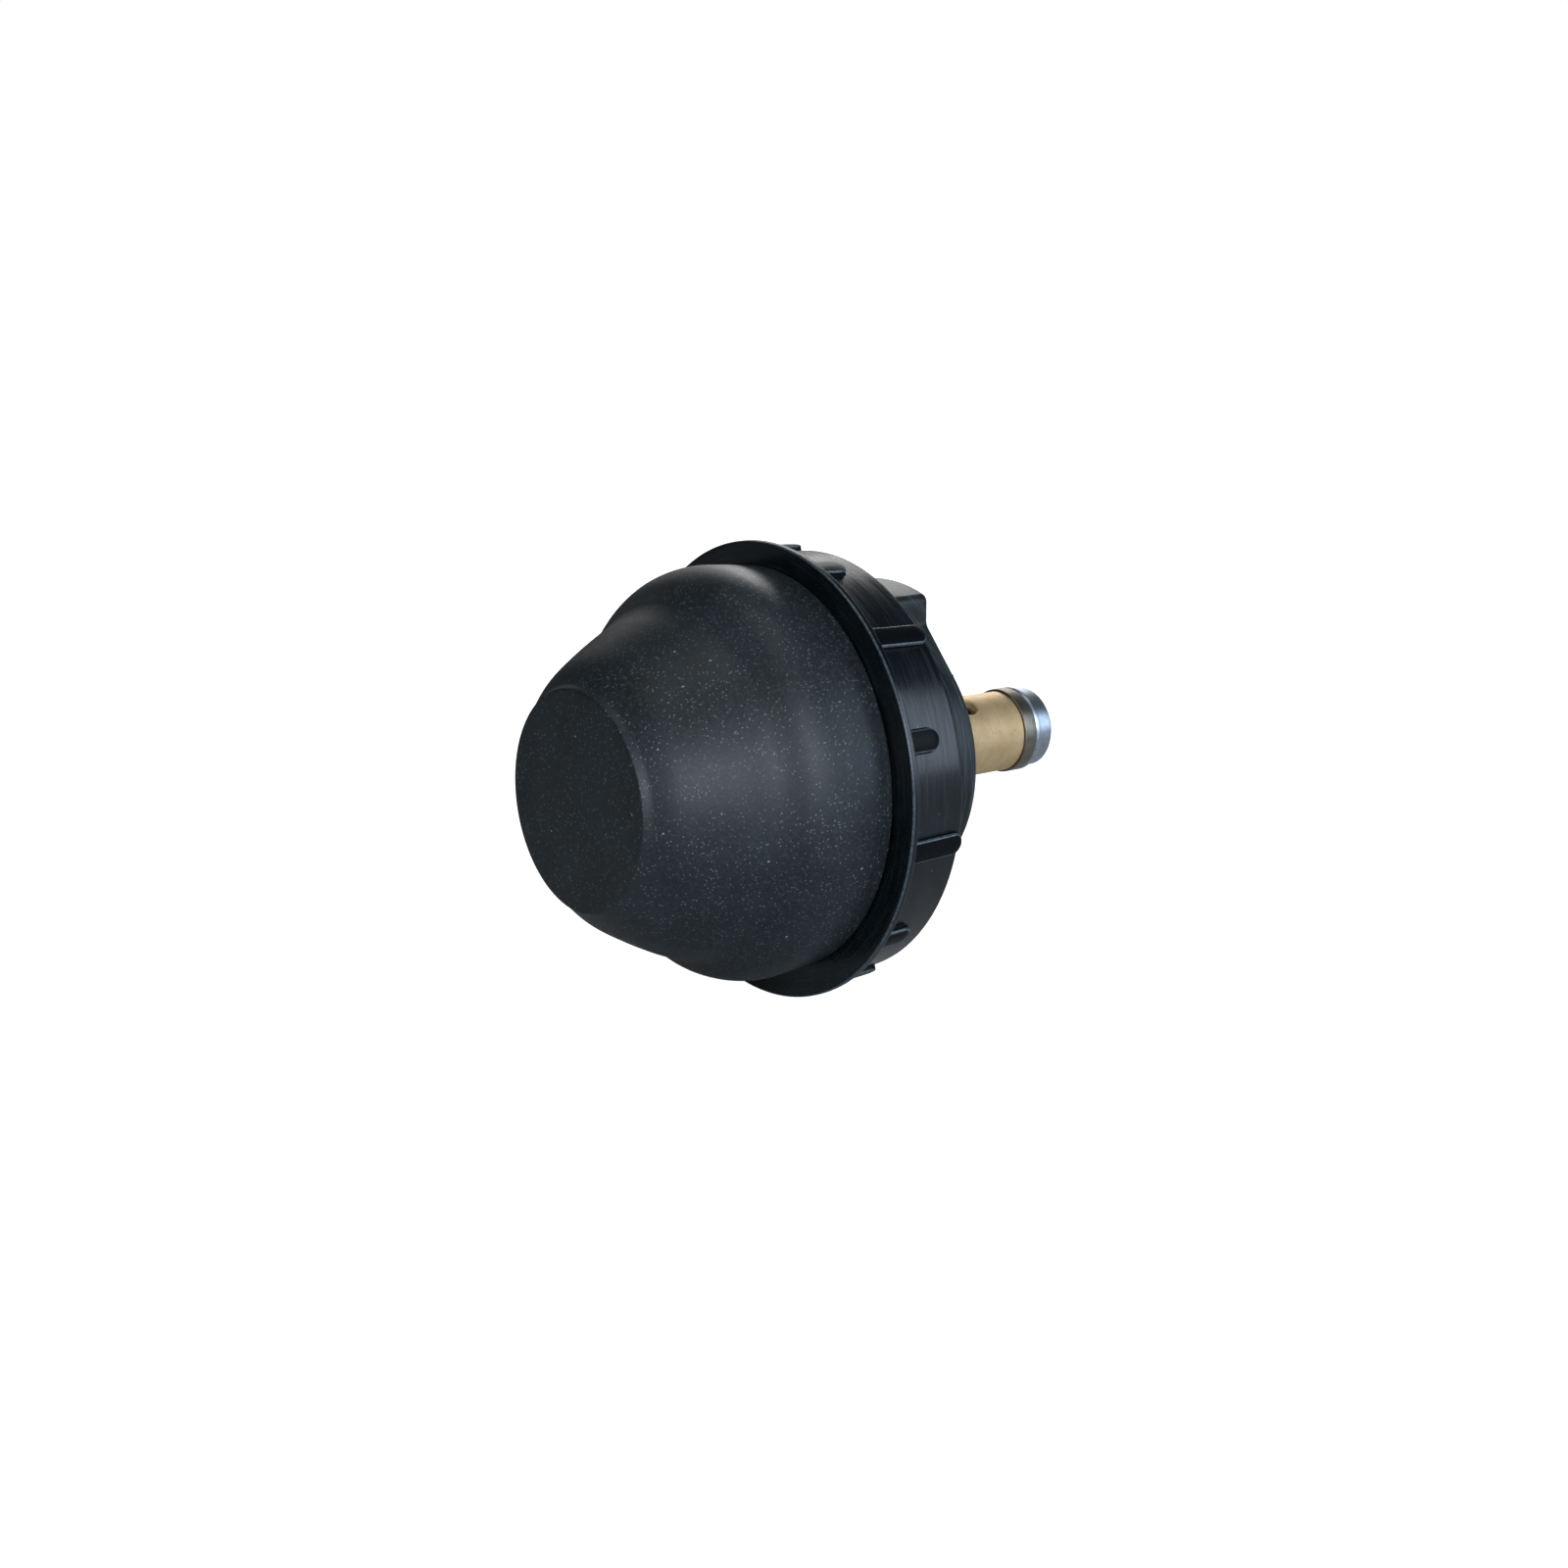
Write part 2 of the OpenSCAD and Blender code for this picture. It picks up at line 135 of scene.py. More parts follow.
def filleted(corners, steps=6):
    """Line through [radius, station, fillet] corners, each turned through an arc of its fillet's radius.

    The arc touches both edges at fillet / tan(half the corner's angle) from the corner.
    """
    corners = np.array(corners, float)
    line = []
    for before, here, after in zip(np.roll(corners, 1, 0), corners, np.roll(corners, -1, 0)):
        p, size = here[:2], here[2]
        if size <= 0:
            line.append(p[None])
            continue
        a, b = before[:2] - p, after[:2] - p
        a, b = a / np.linalg.norm(a), b / np.linalg.norm(b)
        half = np.arccos(np.clip(a @ b, -1, 1)) / 2
        centre = p + (a + b) / np.linalg.norm(a + b) * size / np.sin(half)
        start = p + a * size / np.tan(half) - centre
        end = p + b * size / np.tan(half) - centre
        turn = np.arctan2(start[0] * end[1] - start[1] * end[0], start @ end)
        t = np.linspace(0, turn, steps)[:, None]
        line.append(centre + start * np.cos(t) + np.array([-start[1], start[0]]) * np.sin(t))
    return np.concatenate(line)


def finer(line, step, closed=True):
    """The same line with points added so that none are further apart than step."""
    ends = np.roll(line, -1, 0) if closed else line[1:]
    out = []
    for p, q in zip(line, ends):
        n = max(1, int(np.ceil(np.linalg.norm(q - p) / step)))
        out.append(p + (q - p) * np.linspace(0, 1, n, endpoint=False)[:, None])
    if not closed:
        out.append(line[-1:])
    return np.concatenate(out)


def quads_of(rows, columns, wrap_rows, wrap_columns):
    """Corner numbers of the quads of a grid, which may close on itself either way."""
    i = np.arange(rows if wrap_rows else rows - 1)[:, None]
    j = np.arange(columns if wrap_columns else columns - 1)[None]
    n, m = (i + 1) % rows, (j + 1) % columns
    corners = [i * columns + j, n * columns + j, n * columns + m, i * columns + m]
    return np.stack(np.broadcast_arrays(*corners), -1).reshape(-1, 4)


def turned(radius, station, angle):
    """Points at a radius, a station and an angle from +X towards +Z."""
    return np.stack(np.broadcast_arrays(radius * np.cos(angle), station, radius * np.sin(angle)), -1)


def revolved(profile, turns=256, shape=None):
    """Surface of a closed profile turned about the Y axis.

    shape(radius, station, angle) may give the radius at each point of the grid.
    """
    angle = np.linspace(0, FULL_TURN, turns, endpoint=False)[:, None]
    radius = np.broadcast_to(profile[None, :, 0], (turns, len(profile)))
    station = np.broadcast_to(profile[None, :, 1], (turns, len(profile)))
    if shape:
        radius = shape(radius, station, angle)
    points = turned(radius, station, angle).reshape(-1, 3)
    return points, quads_of(turns, len(profile), True, True)


def swept(centres, sides, across, along, closed=False):
    """Tube round a line: each ring is centre + across cos t + along sin t; its ends close on its line."""
    t = np.linspace(0, FULL_TURN, sides, endpoint=False)[None, :, None]
    rings = centres[:, None] + across[:, None] * np.cos(t) + along[:, None] * np.sin(t)
    if not closed:
        first = np.broadcast_to(centres[:1, None], rings[:1].shape)
        last = np.broadcast_to(centres[-1:, None], rings[:1].shape)
        rings = np.concatenate([first, rings, last])
    return rings.reshape(-1, 3), quads_of(len(rings), sides, closed, True)


def blocked(outline, low, high, size, steps=5, paired=False):
    """Outline of [x, z] points carried from low to high along Y, with its end edges rounded to size.

    Near each end the outline is drawn in by size (1 - sin t) while it moves size (1 - cos t) inwards.
    Each end closes on the outline's middle, or, if it is paired, between each point of the outline's
    first half and its partner in the second half, which runs back beside it.
    """
    edge = np.roll(outline, -1, 0) - np.roll(outline, 1, 0)
    inward = np.stack([-edge[:, 1], edge[:, 0]], -1) / np.linalg.norm(edge, axis=1)[:, None]
    after = np.roll(outline, -1, 0)
    area = np.sum(outline[:, 0] * after[:, 1] - after[:, 0] * outline[:, 1])
    inward *= np.sign(area)
    t = np.linspace(0, np.pi / 2, steps)
    draw, move = size * (1 - np.sin(t)), size * (1 - np.cos(t))
    stations = np.concatenate([low + move, (high - move)[::-1]])
    insets = np.concatenate([draw, draw[::-1]])
    rings = outline[None] + inward[None] * insets[:, None, None]
    count = len(outline)
    if not paired:
        middle = np.broadcast_to(outline.mean(0), rings[:1].shape)
        rings = np.concatenate([middle, rings, middle])
        stations = np.concatenate([[low], stations, [high]])
    along = np.broadcast_to(stations[:, None], rings.shape[:2])
    points = np.stack([rings[..., 0], along, rings[..., 1]], -1)
    quads = quads_of(len(stations), count, False, True)
    if paired:
        i = np.arange(count // 2 - 1)
        cap = np.stack([i, i + 1, count - 2 - i, count - 1 - i], -1)
        quads = np.concatenate([quads, cap, cap + (len(stations) - 1) * count])
    return points.reshape(-1, 3), quads


def piece(name, body, slot, material, *surfaces, stands_for=(), sharp=32):
    """One object from closed surfaces in millimetres, riding on a body.

    Points in one place become one point, so seams and poles close, and the faces of each closed surface
    are turned to agree. They face outwards on all but the key, where they face inwards: a known fault.
    A surface may end with the number of its material, or with one number for each quad.
    """
    materials = material if isinstance(material, tuple) else (material,)
    start, all_points, polygons, finishes = 0, [], [], []
    for points, quads, *number in surfaces:
        all_points.append(points)
        polygons.append(quads + start)
        finishes.append(np.broadcast_to(number[0] if number else 0, len(quads)))
        start += len(points)
    mesh = bpy.data.meshes.new(name)
    mesh.from_pydata((np.concatenate(all_points) * MM).tolist(), [], np.concatenate(polygons).tolist())
    mesh.polygons.foreach_set("material_index", np.concatenate(finishes))
    work = bmesh.new()
    work.from_mesh(mesh)
    bmesh.ops.remove_doubles(work, verts=work.verts, dist=0.002 * MM)
    bmesh.ops.recalc_face_normals(work, faces=work.faces)
    work.to_mesh(mesh)
    work.free()
    mesh.polygons.foreach_set("use_smooth", np.ones(len(mesh.polygons), bool))
    mesh.set_sharp_from_angle(angle=np.radians(sharp))
    for each in materials:
        mesh.materials.append(each)
    made = bpy.data.objects.new(name, mesh)
    bpy.context.scene.collection.objects.link(made)
    if body:
        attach(made, body)
    for node in stands_for:
        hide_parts(node)
    return made


# ---------------------------------------------------------------- materials

def linear(colour):
    """Linear RGBA of an sRGB hex value."""
    s = np.array([int(colour[i:i + 2], 16) for i in (1, 3, 5)]) / 255
    return (*np.where(s <= 0.04045, s / 12.92, ((s + 0.055) / 1.055) ** 2.4), 1)


def add(tree, kind, inputs=(), **settings):
    """Adds a node with its settings; an input is a value or the socket that feeds it."""
    made = tree.nodes.new(kind)
    for key, value in settings.items():
        setattr(made, key, value)
    for key, value in dict(inputs).items():
        if isinstance(value, bpy.types.NodeSocket):
            tree.links.new(value, made.inputs[key])
        else:
            made.inputs[key].default_value = value
    return made


def finish(name, colour, roughness, metallic=0.0, ior=1.5, specular=0.5):
    """A material with its shader's plain values set: (material, node tree, shader)."""
    material = bpy.data.materials.new(name)
    material.use_nodes = True
    tree = material.node_tree
    shader = tree.nodes["Principled BSDF"]
    shader.inputs["Base Color"].default_value = linear(colour)
    shader.inputs["Roughness"].default_value = roughness
    shader.inputs["Metallic"].default_value = metallic
    shader.inputs["Specular IOR Level"].default_value = specular
    if not metallic:
        shader.inputs["IOR"].default_value = ior
    return material, tree, shader


def position(tree):
    """The surface point in the object's own millimetres."""
    point = add(tree, "ShaderNodeTexCoord").outputs["Object"]
    scaled = add(tree, "ShaderNodeVectorMath", {0: point, "Scale": 1 / MM}, operation="SCALE")
    return scaled.outputs["Vector"]


def turned_position(tree, along, across):
    """Point for lathe marks: it changes fast with radius and station, and slowly round the axis."""
    axes = add(tree, "ShaderNodeSeparateXYZ", {0: position(tree)}).outputs
    flat = add(tree, "ShaderNodeCombineXYZ", {0: axes[0], 1: axes[2]}).outputs[0]
    radius = add(tree, "ShaderNodeVectorMath", {0: flat}, operation="LENGTH").outputs["Value"]
    depth = add(tree, "ShaderNodeMath", {0: radius, 1: axes[1]}, operation="ADD").outputs[0]
    depth = add(tree, "ShaderNodeMath", {0: depth, 1: 1 / across}, operation="MULTIPLY").outputs[0]
    scaled = add(tree, "ShaderNodeVectorMath", {0: flat, "Scale": 1 / along}, operation="SCALE").outputs[0]
    sides = add(tree, "ShaderNodeSeparateXYZ", {0: scaled}).outputs
    return add(tree, "ShaderNodeCombineXYZ", {0: sides[0], 1: sides[1], 2: depth}).outputs[0]


def noise(tree, point, size, detail=2.0, rough=0.5):
    """Soft noise whose patches are size across, from 0 to 1."""
    made = add(tree, "ShaderNodeTexNoise",
               {"Vector": point, "Scale": 1 / size, "Detail": detail, "Roughness": rough})
    return made.outputs["Fac"]


def ranged(tree, value, low, high, out_low=0.0, out_high=1.0):
    """Value brought from one range to another, held at its ends."""
    made = add(tree, "ShaderNodeMapRange", {"Value": value, "From Min": low, "From Max": high,
                                            "To Min": out_low, "To Max": out_high})
    return made.outputs["Result"]


def mixed(tree, amount, a, b):
    """Colour a where amount is 0 and colour b where it is 1."""
    made = add(tree, "ShaderNodeMix", {0: amount, 6: a, 7: b}, data_type="RGBA")
    return made.outputs[2]


def times(tree, a, b):
    """The product of two values."""
    return add(tree, "ShaderNodeMath", {0: a, 1: b}, operation="MULTIPLY").outputs[0]


def specks(tree, spacing, size, share):
    """Dust: one speck in a share of the cells of a Voronoi pattern with that spacing."""
    cells = add(tree, "ShaderNodeTexVoronoi", {"Vector": position(tree), "Scale": 1 / spacing})
    near = ranged(tree, cells.outputs["Distance"], size / spacing, 0.5 * size / spacing)
    draw = add(tree, "ShaderNodeSeparateColor", {0: cells.outputs["Color"]}).outputs[0]
    chosen = ranged(tree, draw, share, share - 0.02)
    return times(tree, near, chosen)


def bumped(tree, shader, height, depth):
    """Feeds a height from 0 to 1, which is depth millimetres tall, to the shader's normal."""
    bump = add(tree, "ShaderNodeBump", {"Height": height, "Distance": depth * MM, "Strength": 1.0})
    tree.links.new(bump.outputs[0], shader.inputs["Normal"])


def moulded_rubber():
    """EPDM rubber, compression moulded: satin, slate black, with a fine bloom and caught dust."""
    material, tree, shader = finish("moulded_rubber", "#191e21", 0.5, specular=0.42)
    point = position(tree)
    cloudy = noise(tree, point, 6.0, 4, 0.6)
    base = mixed(tree, ranged(tree, cloudy, 0.35, 0.7), linear("#14181b"), linear("#1f272c"))
    grain = noise(tree, point, 0.3, 3, 0.7)
    base = mixed(tree, times(tree, ranged(tree, grain, 0.5, 0.8), 0.4), base, linear("#465254"))
    patch = ranged(tree, noise(tree, point, 3.0, 3), 0.4, 0.65, 0.5, 1.0)
    fine = times(tree, specks(tree, 0.33, 0.085, 0.85), patch)
    coarse = specks(tree, 1.3, 0.12, 0.22)
    dust = add(tree, "ShaderNodeMath", {0: times(tree, fine, 0.55), 1: coarse},
               operation="MAXIMUM").outputs[0]
    base = mixed(tree, times(tree, dust, 0.7), base, linear("#98a2a3"))
    tree.links.new(base, shader.inputs["Base Color"])
    tree.links.new(ranged(tree, grain, 0.3, 0.7, 0.44, 0.58), shader.inputs["Roughness"])
    bumped(tree, shader, grain, 0.015)
    return material


def moulded_gloss():
    """Black acetal, injection moulded in a turned, polished tool: it shows the tool's fine lathe lines."""
    material, tree, shader = finish("moulded_gloss", "#080c0f", 0.25, specular=0.45)
    point = position(tree)
    lines = noise(tree, turned_position(tree, 7.0, 0.22), 1.0, 3, 0.6)
    patches = noise(tree, point, 3.0, 2)
    base = mixed(tree, ranged(tree, patches, 0.4, 0.7), linear("#05090b"), linear("#0c1419"))
    base = mixed(tree, times(tree, ranged(tree, lines, 0.52, 0.72), 0.22), base, linear("#2c3a42"))
    dust = specks(tree, 1.1, 0.08, 0.25)
    tree.links.new(mixed(tree, times(tree, dust, 0.45), base, linear("#7d888d")), shader.inputs["Base Color"])
    tree.links.new(ranged(tree, lines, 0.3, 0.75, 0.16, 0.36), shader.inputs["Roughness"])
    bumped(tree, shader, lines, 0.0035)
    return material


def filled_nylon():
    """Glass filled nylon, moulded and skimmed on a lathe: grey black, matt, with the fibres' pale streaks."""
    material, tree, shader = finish("filled_nylon", "#1b2124", 0.45, specular=0.35)
    point = position(tree)
    streaks = noise(tree, turned_position(tree, 5.5, 0.2), 1.0, 3, 0.65)
    cloudy = noise(tree, point, 2.5, 3)
    base = mixed(tree, ranged(tree, cloudy, 0.35, 0.7), linear("#111618"), linear("#1d2427"))
    base = mixed(tree, times(tree, ranged(tree, streaks, 0.48, 0.68), 0.4), base, linear("#58646a"))
    tree.links.new(base, shader.inputs["Base Color"])
    tree.links.new(ranged(tree, streaks, 0.3, 0.7, 0.36, 0.52), shader.inputs["Roughness"])
    bumped(tree, shader, streaks, 0.004)
    return material


def turned_metal(name, low, high, roughness, spread=0.12, across=0.07, stain=None, metallic=1.0):
    """Metal bar turned on a lathe: fine rings of tool marks, and a colour that drifts a little."""
    material, tree, shader = finish(name, low, roughness, metallic=metallic)
    point = position(tree)
    lines = noise(tree, turned_position(tree, 4.0, across), 1.0, 2, 0.6)
    cloudy = noise(tree, point, 1.6, 4, 0.65)
    base = mixed(tree, ranged(tree, cloudy, 0.3, 0.7), linear(low), linear(high))
    if stain:
        spots = ranged(tree, noise(tree, point, 0.5, 4, 0.7), 0.56, 0.7)
        base = mixed(tree, times(tree, spots, 0.5), base, linear(stain))
    tree.links.new(base, shader.inputs["Base Color"])
    tree.links.new(ranged(tree, lines, 0.3, 0.7, roughness - spread / 2, roughness + spread / 2),
                   shader.inputs["Roughness"])
    bumped(tree, shader, lines, 0.004)
    return material


def moulded_plain(name, low, high, roughness, specular=0.5):
    """Unpainted moulded plastic or rubber, with a faint grain."""
    material, tree, shader = finish(name, low, roughness, specular=specular)
    grain = noise(tree, position(tree), 0.3, 3, 0.6)
    tree.links.new(mixed(tree, ranged(tree, grain, 0.3, 0.7), linear(low), linear(high)),
                   shader.inputs["Base Color"])
    bumped(tree, shader, grain, 0.01)
    return material


rubber = moulded_rubber()
matt_gloss = moulded_plain("moulded_ribs", "#030507", "#070b0f", 0.4, 0.1)
# Lighter, glossier edge colour: a painted highlight standing in for the light caught by the ring nut's front
# edges, its ribs' top edges and the spigot's end fillet.
edge_highlight_paint = moulded_plain("painted_edge_highlight", "#252f35", "#4a575e", 0.24)
gloss = moulded_gloss()
nylon = filled_nylon()
brass = turned_metal("satin_brass", "#c4a77c", "#d4ba90", 0.6, stain="#a58d60", metallic=0.7)
bronze = turned_metal("sintered_bronze", "#8a6a42", "#a5835a", 0.5)
zinc = turned_metal("zinc_plated_steel", "#98a3b0", "#c2c8d2", 0.34, stain="#5d6a76")
browned = turned_metal("browned_steel", "#6f675b", "#908a7f", 0.38)
spring_wire = turned_metal("spring_wire", "#6f7276", "#8e9296", 0.35)
sheet = turned_metal("pressed_steel", "#a9abad", "#c3c5c7", 0.38)
nitrile = moulded_plain("nitrile_rubber", "#121414", "#1d2020", 0.65)
acetal = moulded_plain("natural_acetal", "#c9c5b6", "#d8d5c9", 0.45)


# ---------------------------------------------------------------- boot

def smooth_line(points, steps):
    """Catmull-Rom curve through points, with steps points from each to the next."""
    p = np.array(points, float)
    before = np.concatenate([p[:1], p[:-2]])
    after = np.concatenate([p[2:], p[-1:]])
    t = np.linspace(0, 1, steps, endpoint=False)[None, :, None]
    a, b, c, d = before[:, None], p[:-1, None], p[1:, None], after[:, None]
    line = 0.5 * (2 * b + (c - a) * t + (2 * a - 5 * b + 4 * c - d) * t ** 2
                  + (3 * b - a - 3 * c + d) * t ** 3)
    return np.concatenate([line.reshape(-1, 2), p[-1:]])


def boot_profile():
    """Side as a smooth line from the face to the skirt, its inner wall one wall beside it, and the foot."""
    shape = np.array([[0.12, 0.23], [0.25, 0.41], [0.37, 0.55], [0.5, 0.69],
                      [0.62, 0.91], [0.74, 1], [0.87, 0.99], [0.97, 0.97]])
    skirt = ring_front - skirt_gap
    length = ring_front - 0.3 - boot_front
    side = np.stack([boot_face_r + shape[:, 1] * (boot_bulge_r - boot_face_r),
                     boot_front + shape[:, 0] * length], -1)
    side = smooth_line(np.concatenate([[[boot_face_r, boot_front + 0.35]], side]), 8)
    step = np.gradient(side, axis=0)
    across = np.stack([-step[:, 1], step[:, 0]], -1)
    inside = side + boot_wall * across / np.linalg.norm(step, axis=1)[:, None]
    front_in = boot_front + boot_front_t
    kept = (inside[:, 1] > front_in + 0.4) & (inside[:, 1] < skirt - boot_wall - 0.8)
    inside = inside[kept][::-1]
    edge = filleted([[0, boot_front, 0], [boot_face_r, boot_front, 0.3], [*side[2], 0]])[:-1]
    skirt_r = side[-1, 0]
    foot = filleted([[skirt_r, side[-1, 1], 0], [skirt_r - 0.05, skirt, 0.3], [boot_neck_r, skirt, 0.3],
                     [boot_neck_r, slip_high[1], 0.1], [slip_high[0], slip_high[1], 0.15],
                     [slip_high[0], boot_back, 0.15], [boot_foot_in_r, boot_back, 0.15],
                     [boot_foot_in_r, slip_high[1], 0.15], [boot_neck_in_r, slip_high[1], 0.15],
                     [boot_neck_in_r, skirt - 0.2, 0.4], [*inside[0], 0]])[1:-1]
    tail = np.array([[inside[-1, 0] - 0.5, front_in], [0, front_in]])
    return finer(np.concatenate([edge, side[2:], foot, inside, tail]), 0.35)


def slumped(points):
    """The soft bulge sits a little high of centre, and its clamped foot and its face don't."""
    share = (points[:, 1] - boot_front) / (ring_front - boot_front)
    radius = (points[:, 0] ** 2 + points[:, 2] ** 2) ** 0.5
    rise = np.clip((share - 0.3) / 0.35, 0, 1) * np.clip(radius - lip_r, 0, 1)
    return points + np.array([0, 0, slump]) * rise[:, None]


boot_points, boot_quads = revolved(boot_profile(), 288)
boot = piece("rubber_boot", None, "boot_rubber", rubber, (slumped(boot_points), boot_quads),
             stands_for=["boot"])
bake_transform(boot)


# ---------------------------------------------------------------- ring nut

# The third place holds the painted highlight colour, laid on edges to stand in for the light they catch.
PLAIN, MATT, PAINTED_HIGHLIGHT = 0, 1, 2  # places in the ring nut's materials


def thread(radius, station, angle):
    """The bore's thread: radius + 0.7 (1 - cos(turn)) / 2 along a helix, fading out at both ends."""
    turn = station / thread_pitch - angle / FULL_TURN
    height = 0.5 - 0.5 * np.cos(FULL_TURN * turn)
    fade_in = np.clip((station - (ring_front + lip_t) - 0.4) / 0.5, 0, 1)
    fade_out = np.clip((ring_back - 0.5 - station) / 0.4, 0, 1)
    in_bore = np.abs(radius - thread_r) < 0.01
    return radius + np.where(in_bore, 0.7 * height * fade_in * fade_out, 0)


def ring_body():
    step_y = ring_front + rim_t
    band_y = step_y + step_t
    step_r = band_r + band_draft + 0.4
    corners = [[lip_r, ring_front, 0.2], [rim_r, ring_front, 0.17], [rim_r, step_y, 0.14],
               [step_r, step_y, 0.06], [step_r, band_y, 0.1], [band_r + band_draft, band_y, 0.06],
               [band_r, ring_back, 0.22], [thread_r + 0.3, ring_back, 0.06],
               [thread_r, ring_back - 0.3, 0], [thread_r, ring_front + lip_t, 0],
               [lip_r, ring_front + lip_t, 0.1]]
    profile, turns, highlight_reach = finer(filleted(corners), 0.12), 360, 0.13
    # Faces within reach of the rim's and the step's edges get the painted highlight colour instead of the
    # gloss.
    edges = np.array([[rim_r, ring_front], [rim_r, step_y], [step_r, band_y]])
    highlit = np.linalg.norm(profile[:, None] - edges, axis=-1).min(1) < highlight_reach
    return (*revolved(profile, turns, thread), np.tile(np.where(highlit, PAINTED_HIGHLIGHT, PLAIN), turns))


def rib(angle, length):
    """Grip rib: a capsule in plan, wrapped on the band, with a root fillet and a crowned, rounded top."""
    front = ring_front + rim_t + step_t
    half, root, top, crown = rib_w / 2, 0.12, 0.22, 0.07
    t = np.linspace(0, np.pi / 2, 6)
    inner = np.linspace(half - top, 0, 6)[1:]
    section = np.concatenate([
        [[half + root, -0.3]],
        np.stack([half + root - root * np.sin(t), root - root * np.cos(t)], -1),
        np.stack([half - top + top * np.cos(t), rib_h - top + top * np.sin(t)], -1),
        np.stack([inner, rib_h + crown * (1 - (inner / (half - top)) ** 2)], -1)])
    around = np.linspace(0, np.pi, 17)
    arc = np.concatenate([around, around + np.pi])
    centre = np.where(np.arange(34) < 17, front + length - half, front - 0.3)
    u = section[:, :1] * np.cos(arc)[None]
    v = np.maximum(centre[None] + section[:, :1] * np.sin(arc)[None], front - 0.6)
    surface_r = band_r + band_draft * (ring_back - v) / (ring_back - front)
    points = turned(surface_r + section[:, 1:], v, np.radians(angle) + u / band_r)
    base = points[:1].mean((0, 1)) + 0 * points[:1]
    points = np.concatenate([base, points])
    rows = np.arange(len(points) - 1)
    top_edge = (rows >= 8) & (rows < 12)  # rows of the section's arc between its flank and its top
    # The rib's top edge gets the painted highlight colour, and the rest gets the matt rib finish.
    number = np.where(top_edge, PAINTED_HIGHLIGHT, MATT)
    return points.reshape(-1, 3), quads_of(len(points), len(arc), False, True), np.repeat(number, len(arc))


long_rib = ring_back - (ring_front + rim_t + step_t) - 0.12
ribs = [rib(rib_phase + i * 360 / rib_count, rib_short if min(i, rib_count - i) % 2 else long_rib)
        for i in range(rib_count)]
piece("ring_nut_moulding", "ring", "ring_plastic", (gloss, matt_gloss, edge_highlight_paint), ring_body(), *ribs,
      stands_for=["ring_nut"])


# ---------------------------------------------------------------- body

def body_shell():
    corners = [[bush_r, -hub_front, 0.1], [hub_r, -hub_front, 0.3], [hub_r, web_front, 0.4],
               [cavity_r, web_front, 0.4], [cavity_r, boot_back, 0.1], [flange_r, boot_back, 0.1],
               [flange_r, gasket_low[1], 0.1], [spigot_r, gasket_low[1], 0.05],
               [spigot_r, spigot_end, 0.4], [cavity_r, spigot_end, 0.25], [cavity_r, web_back, 0.4],
               [boss_r, web_back, 0.4], [boss_r, stop_high[1] + 0.7, 0.25],
               [counterbore_r, stop_high[1] + 0.7, 0.2], [counterbore_r, counterbore_floor, 0.05],
               [bush_r, counterbore_floor, 0.05]]
    profile, turns, highlight_reach = finer(filleted(corners), 0.5), 256, 0.4
    # Faces round the spigot's end get the painted highlight colour instead of the nylon.
    highlit = np.linalg.norm(profile - [spigot_r, spigot_end], axis=1) < highlight_reach
    return (*revolved(profile, turns), np.tile(np.where(highlit, 1, 0), turns))


def key_block():
    """Key on the spigot: its top is round about the axis, and its flanks run down to touch the spigot."""
    key_r = spigot_r + key_h
    root_z = np.sqrt(key_r ** 2 - key_w ** 2 / 4) - key_side
    touch = np.arctan2(root_z, key_w / 2) - np.arccos(spigot_r / np.hypot(key_w / 2, root_z))
    foot = spigot_r * np.array([np.cos(touch), np.sin(touch)])
    half_top = np.arcsin(key_w / 2 / key_r)
    side = [[*foot, 0], [key_w / 2, root_z, key_root],
            [key_r * np.sin(half_top), key_r * np.cos(half_top), key_corner]]
    t = np.linspace(0.9, -0.9, 21) * half_top
    top = np.stack([key_r * np.sin(t), key_r * np.cos(t), 0 * t], -1)
    left = np.array(side)[::-1] * [-1, 1, 1]
    outer = finer(filleted(np.concatenate([side, top, left])), 0.5, closed=False)
    inside_wall = 0.925 * spigot_r
    under = outer[::-1] / np.linalg.norm(outer[::-1], axis=1)[:, None] * inside_wall
    outline = np.concatenate([outer, under])
    return blocked(outline, ring_back + 0.3, spigot_end - 0.02, 0.4, paired=True)


def gusset(angle):
    """One web between the rear boss and the spigot's wall, its top edges rounded."""
    half = gusset_t / 2
    low, high = boss_r - 0.3, cavity_r + 0.3
    outline = finer(np.array([[low, -half], [high, -half], [high, half], [low, half]]), 0.6)
    points, quads = blocked(outline, web_back - 0.3, stop_high[1] + 0.2, 0.2)
    x, y, z = points.T
    a = np.radians(angle)
    return np.stack([x * np.cos(a) - z * np.sin(a), y, x * np.sin(a) + z * np.cos(a)], -1), quads


gussets = [gusset((i + 0.5) * 360 / gusset_count) for i in range(gusset_count)]
piece("body_moulding", "housing", "body_plastic", (nylon, edge_highlight_paint), body_shell(), key_block(), *gussets,
      stands_for=["body"])


# ---------------------------------------------------------------- plunger

